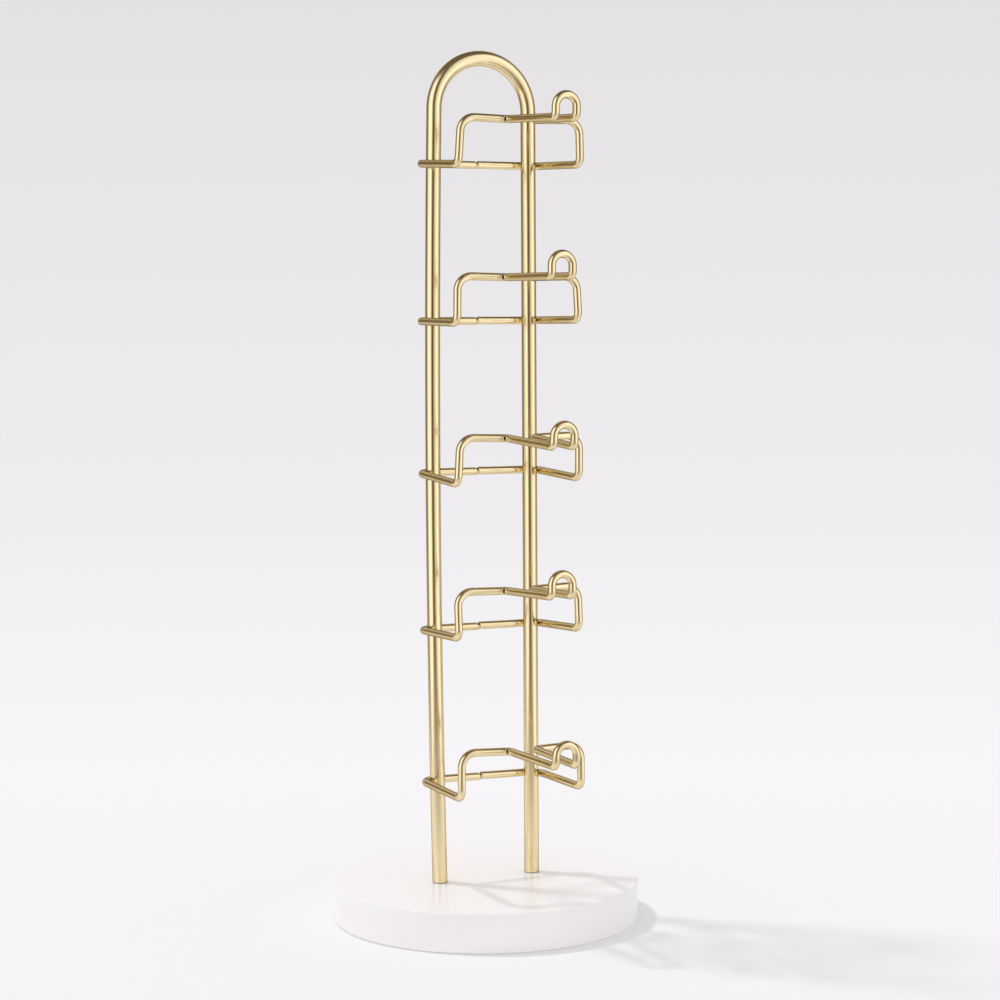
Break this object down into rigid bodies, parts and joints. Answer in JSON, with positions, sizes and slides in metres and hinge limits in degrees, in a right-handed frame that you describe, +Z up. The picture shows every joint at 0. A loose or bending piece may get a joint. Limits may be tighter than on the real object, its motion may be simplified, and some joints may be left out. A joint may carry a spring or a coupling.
{
  "type": "glasses display stand",
  "caption": "Table stand for pairs of glasses: a round white base, a tall gold inverted-U rod frame, and bent-wire holders that each end in prongs with a small arch.",
  "frame": {"origin": "centre of the underside of the base, on the table", "axes": "+Z up along the frame, +X from the left leg to the right leg, -Y forward to where the prongs point"},
  "size_m": [0.12, 0.1328, 0.3388],
  "materials": {
    "white_board": "smooth white satin lacquer on fibreboard",
    "grip_pad": "thin matt black grip sheet",
    "gold_wire": "satin pale gold on steel wire",
    "screw_steel": "zinc plated"
  },
  "bodies": {
    "root": {"base_disc": "white_board", "base_pad": "grip_pad", "u_frame": "gold_wire", "frame_screws": "screw_steel", "frame_washers": "screw_steel", "glasses_holder_1": "gold_wire", "glasses_holder_2": "gold_wire", "glasses_holder_3": "gold_wire", "glasses_holder_4": "gold_wire", "glasses_holder_5": "gold_wire", "seam_weld_1": "gold_wire", "seam_weld_2": "gold_wire", "seam_weld_3": "gold_wire", "seam_weld_4": "gold_wire", "seam_weld_5": "gold_wire", "left_leg_weld_1": "gold_wire", "right_leg_weld_1": "gold_wire", "left_leg_weld_2": "gold_wire", "right_leg_weld_2": "gold_wire", "left_leg_weld_3": "gold_wire", "right_leg_weld_3": "gold_wire", "left_leg_weld_4": "gold_wire", "right_leg_weld_4": "gold_wire", "left_leg_weld_5": "gold_wire", "right_leg_weld_5": "gold_wire"}
  },
  "joints": []
}
